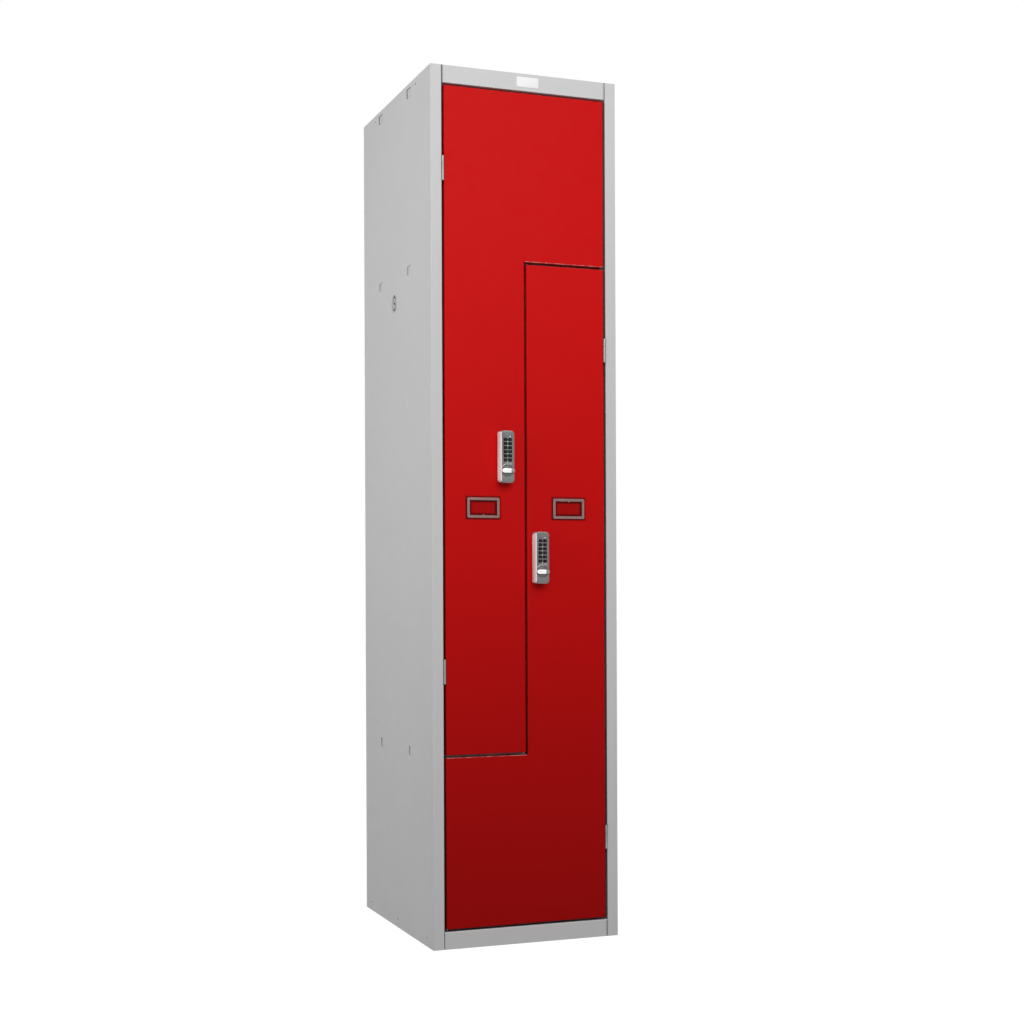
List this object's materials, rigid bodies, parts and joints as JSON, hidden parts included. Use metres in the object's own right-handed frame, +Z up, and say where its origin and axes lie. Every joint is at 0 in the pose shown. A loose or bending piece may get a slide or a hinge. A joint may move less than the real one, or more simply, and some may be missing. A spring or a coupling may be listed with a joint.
{
  "type": "z locker",
  "caption": "Tall narrow steel locker whose L-shaped doors interlock as a Z; each door has a keypad lock with a thumb turn, a card holder and hinges on its own side.",
  "frame": {"origin": "on the floor, below the middle of the whole part, lock knobs included", "axes": "+Z up, the doors face -Y, +X to the right as seen from the front"},
  "size_m": [0.41, 0.5272, 1.8],
  "materials": {
    "frame_grey": "satin light grey powder coat",
    "door_red": "satin signal red powder coat",
    "zinc_steel": "zinc-plated steel",
    "label_steel": "dull plated steel",
    "lock_silver": "satin silver coated casting",
    "knob_chrome": "polished plating",
    "key_black": "fine matte black",
    "hook_grey": "moulded grey plastic"
  },
  "bodies": {
    "frame": {"side_panel_left": "frame_grey", "side_panel_right": "frame_grey", "back_panel": "frame_grey", "top_panel": "frame_grey", "base_panel": "frame_grey", "upper_shelf": "frame_grey", "lower_shelf": "frame_grey", "centre_divider": "frame_grey", "coat_hook_left": "hook_grey", "coat_hook_right": "hook_grey", "hinge_leaf_frame_left_upper": "zinc_steel", "hinge_pin_left_upper": "zinc_steel", "hinge_leaf_frame_left_lower": "zinc_steel", "hinge_pin_left_lower": "zinc_steel", "hinge_leaf_frame_right_upper": "zinc_steel", "hinge_pin_right_upper": "zinc_steel", "hinge_leaf_frame_right_lower": "zinc_steel", "hinge_pin_right_lower": "zinc_steel"},
    "left_door": {"door_panel_left": "door_red", "door_stiffener_left": "door_red", "hinge_leaf_door_left_upper": "zinc_steel", "hinge_leaf_door_left_lower": "zinc_steel", "label_holder_left": "label_steel", "lock_housing_left": "lock_silver", "lock_back_plate_left": "zinc_steel"},
    "left_knob": {"lock_knob_left": "knob_chrome", "lock_cam_left": "zinc_steel"},
    "left_key_01": {"key_left_01": "key_black"},
    "left_key_02": {"key_left_02": "key_black"},
    "left_key_03": {"key_left_03": "key_black"},
    "left_key_04": {"key_left_04": "key_black"},
    "left_key_05": {"key_left_05": "key_black"},
    "left_key_06": {"key_left_06": "key_black"},
    "left_key_07": {"key_left_07": "key_black"},
    "left_key_08": {"key_left_08": "key_black"},
    "left_key_09": {"key_left_09": "key_black"},
    "left_key_10": {"key_left_10": "key_black"},
    "left_key_11": {"key_left_11": "key_black"},
    "left_key_12": {"key_left_12": "key_black"},
    "right_door": {"door_panel_right": "door_red", "door_stiffener_right": "door_red", "hinge_leaf_door_right_upper": "zinc_steel", "hinge_leaf_door_right_lower": "zinc_steel", "label_holder_right": "label_steel", "lock_housing_right": "lock_silver", "lock_back_plate_right": "zinc_steel"},
    "right_knob": {"lock_knob_right": "knob_chrome", "lock_cam_right": "zinc_steel"},
    "right_key_01": {"key_right_01": "key_black"},
    "right_key_02": {"key_right_02": "key_black"},
    "right_key_03": {"key_right_03": "key_black"},
    "right_key_04": {"key_right_04": "key_black"},
    "right_key_05": {"key_right_05": "key_black"},
    "right_key_06": {"key_right_06": "key_black"},
    "right_key_07": {"key_right_07": "key_black"},
    "right_key_08": {"key_right_08": "key_black"},
    "right_key_09": {"key_right_09": "key_black"},
    "right_key_10": {"key_right_10": "key_black"},
    "right_key_11": {"key_right_11": "key_black"},
    "right_key_12": {"key_right_12": "key_black"}
  },
  "joints": [
    {"name": "left_door_swing", "type": "hinge", "parent": "frame", "child": "left_door", "pos_m": [-0.17885, -0.23595, 0.9], "axis": [0, 0, -1], "range_deg": [0, 110]},
    {"name": "left_knob_turn", "type": "hinge", "parent": "left_door", "child": "left_knob", "pos_m": [-0.0478, -0.23645, 0.9755], "axis": [0, -1, 0], "range_deg": [0, 90]},
    {"name": "left_key_01_press", "type": "slide", "parent": "left_door", "child": "left_key_01", "axis": [0, 1, 0], "range_m": [0, 0.001], "stiffness_N_per_m": 200, "springref_m": -0.001},
    {"name": "left_key_02_press", "type": "slide", "parent": "left_door", "child": "left_key_02", "axis": [0, 1, 0], "range_m": [0, 0.001], "stiffness_N_per_m": 200, "springref_m": -0.001},
    {"name": "left_key_03_press", "type": "slide", "parent": "left_door", "child": "left_key_03", "axis": [0, 1, 0], "range_m": [0, 0.001], "stiffness_N_per_m": 200, "springref_m": -0.001},
    {"name": "left_key_04_press", "type": "slide", "parent": "left_door", "child": "left_key_04", "axis": [0, 1, 0], "range_m": [0, 0.001], "stiffness_N_per_m": 200, "springref_m": -0.001},
    {"name": "left_key_05_press", "type": "slide", "parent": "left_door", "child": "left_key_05", "axis": [0, 1, 0], "range_m": [0, 0.001], "stiffness_N_per_m": 200, "springref_m": -0.001},
    {"name": "left_key_06_press", "type": "slide", "parent": "left_door", "child": "left_key_06", "axis": [0, 1, 0], "range_m": [0, 0.001], "stiffness_N_per_m": 200, "springref_m": -0.001},
    {"name": "left_key_07_press", "type": "slide", "parent": "left_door", "child": "left_key_07", "axis": [0, 1, 0], "range_m": [0, 0.001], "stiffness_N_per_m": 200, "springref_m": -0.001},
    {"name": "left_key_08_press", "type": "slide", "parent": "left_door", "child": "left_key_08", "axis": [0, 1, 0], "range_m": [0, 0.001], "stiffness_N_per_m": 200, "springref_m": -0.001},
    {"name": "left_key_09_press", "type": "slide", "parent": "left_door", "child": "left_key_09", "axis": [0, 1, 0], "range_m": [0, 0.001], "stiffness_N_per_m": 200, "springref_m": -0.001},
    {"name": "left_key_10_press", "type": "slide", "parent": "left_door", "child": "left_key_10", "axis": [0, 1, 0], "range_m": [0, 0.001], "stiffness_N_per_m": 200, "springref_m": -0.001},
    {"name": "left_key_11_press", "type": "slide", "parent": "left_door", "child": "left_key_11", "axis": [0, 1, 0], "range_m": [0, 0.001], "stiffness_N_per_m": 200, "springref_m": -0.001},
    {"name": "left_key_12_press", "type": "slide", "parent": "left_door", "child": "left_key_12", "axis": [0, 1, 0], "range_m": [0, 0.001], "stiffness_N_per_m": 200, "springref_m": -0.001},
    {"name": "right_door_swing", "type": "hinge", "parent": "frame", "child": "right_door", "pos_m": [0.17885, -0.23595, 0.9], "axis": [0, 0, 1], "range_deg": [0, 110]},
    {"name": "right_knob_turn", "type": "hinge", "parent": "right_door", "child": "right_knob", "pos_m": [0.0283, -0.23645, 0.7685], "axis": [0, 1, 0], "range_deg": [0, 90]},
    {"name": "right_key_01_press", "type": "slide", "parent": "right_door", "child": "right_key_01", "axis": [0, 1, 0], "range_m": [0, 0.001], "stiffness_N_per_m": 200, "springref_m": -0.001},
    {"name": "right_key_02_press", "type": "slide", "parent": "right_door", "child": "right_key_02", "axis": [0, 1, 0], "range_m": [0, 0.001], "stiffness_N_per_m": 200, "springref_m": -0.001},
    {"name": "right_key_03_press", "type": "slide", "parent": "right_door", "child": "right_key_03", "axis": [0, 1, 0], "range_m": [0, 0.001], "stiffness_N_per_m": 200, "springref_m": -0.001},
    {"name": "right_key_04_press", "type": "slide", "parent": "right_door", "child": "right_key_04", "axis": [0, 1, 0], "range_m": [0, 0.001], "stiffness_N_per_m": 200, "springref_m": -0.001},
    {"name": "right_key_05_press", "type": "slide", "parent": "right_door", "child": "right_key_05", "axis": [0, 1, 0], "range_m": [0, 0.001], "stiffness_N_per_m": 200, "springref_m": -0.001},
    {"name": "right_key_06_press", "type": "slide", "parent": "right_door", "child": "right_key_06", "axis": [0, 1, 0], "range_m": [0, 0.001], "stiffness_N_per_m": 200, "springref_m": -0.001},
    {"name": "right_key_07_press", "type": "slide", "parent": "right_door", "child": "right_key_07", "axis": [0, 1, 0], "range_m": [0, 0.001], "stiffness_N_per_m": 200, "springref_m": -0.001},
    {"name": "right_key_08_press", "type": "slide", "parent": "right_door", "child": "right_key_08", "axis": [0, 1, 0], "range_m": [0, 0.001], "stiffness_N_per_m": 200, "springref_m": -0.001},
    {"name": "right_key_09_press", "type": "slide", "parent": "right_door", "child": "right_key_09", "axis": [0, 1, 0], "range_m": [0, 0.001], "stiffness_N_per_m": 200, "springref_m": -0.001},
    {"name": "right_key_10_press", "type": "slide", "parent": "right_door", "child": "right_key_10", "axis": [0, 1, 0], "range_m": [0, 0.001], "stiffness_N_per_m": 200, "springref_m": -0.001},
    {"name": "right_key_11_press", "type": "slide", "parent": "right_door", "child": "right_key_11", "axis": [0, 1, 0], "range_m": [0, 0.001], "stiffness_N_per_m": 200, "springref_m": -0.001},
    {"name": "right_key_12_press", "type": "slide", "parent": "right_door", "child": "right_key_12", "axis": [0, 1, 0], "range_m": [0, 0.001], "stiffness_N_per_m": 200, "springref_m": -0.001}
  ]
}
